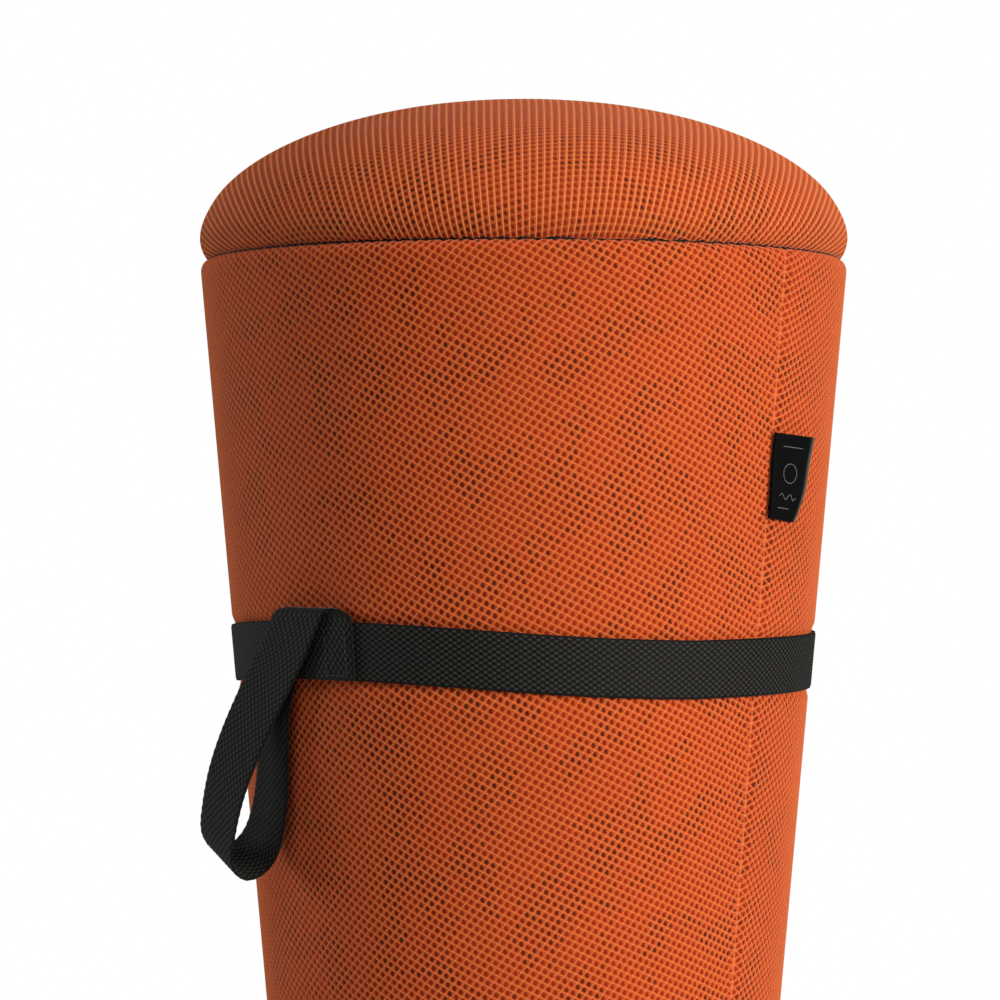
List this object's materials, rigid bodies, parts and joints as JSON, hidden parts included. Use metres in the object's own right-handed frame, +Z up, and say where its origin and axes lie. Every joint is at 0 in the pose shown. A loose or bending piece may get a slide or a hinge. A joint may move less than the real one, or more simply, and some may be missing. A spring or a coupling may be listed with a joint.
{
  "type": "active sitting stool",
  "caption": "Tapered upholstered perching stool with a domed padded seat, convex rocker sole, webbing belt with carry loop and a side seam label.",
  "frame": {"origin": "centre of the sole's flat floor zone", "axes": "+Z up along the stool's axis; -Y points out at the carry loop; +X points out at the cover's seam with the label"},
  "size_m": [0.352, 0.352, 0.64],
  "materials": {
    "sole_rubber": "matt, ring-grooved",
    "dish_plastic": "moulded polypropylene",
    "iron": "rough cast, painted dark",
    "zinc_steel": "zinc plated",
    "rim_plastic": "fine moulded grain",
    "shell_plastic": "moulded polypropylene",
    "foam": "open-cell polyurethane foam",
    "firm_foam": "bonded firm foam",
    "mesh_fabric": "open knitted spacer mesh, orange",
    "cord": "braided draw cord",
    "plywood": "birch plywood, sanded",
    "webbing": "woven black webbing",
    "thread": "black sewing thread",
    "label_fabric": "black woven label, slight sheen"
  },
  "bodies": {
    "stool": {"rocker_sole": "sole_rubber", "base_dish": "dish_plastic", "ballast_disc": "iron", "ballast_bolts": "zinc_steel", "ballast_washers": "zinc_steel", "clamp_ring": "rim_plastic", "base_screws": "zinc_steel", "body_shell": "shell_plastic", "body_foam": "foam", "body_cover": "mesh_fabric", "seam_tape": "webbing", "hem_cord_bottom": "cord", "hem_cord_top": "cord", "seat_board": "plywood", "seat_tee_nuts": "zinc_steel", "seat_bolts": "zinc_steel", "seat_washers": "zinc_steel", "seat_foam_firm": "firm_foam", "seat_foam_soft": "foam", "seat_cover": "mesh_fabric", "seat_staples": "zinc_steel", "belt": "webbing", "loop_tab": "webbing", "loop_stitches": "thread"},
    "carry_loop": {"carry_loop": "webbing"},
    "seam_label": {"seam_label": "label_fabric"}
  },
  "joints": [
    {"name": "carry_loop_swing", "type": "hinge", "parent": "stool", "child": "carry_loop", "pos_m": [-0.04, -0.1665, 0.325], "axis": [-1, 0, 0], "range_deg": [0, 100]},
    {"name": "label_flap", "type": "hinge", "parent": "stool", "child": "seam_label", "pos_m": [0.16671, 0, 0.436], "axis": [-0.09, 0, -0.9959], "range_deg": [0, 165]}
  ]
}
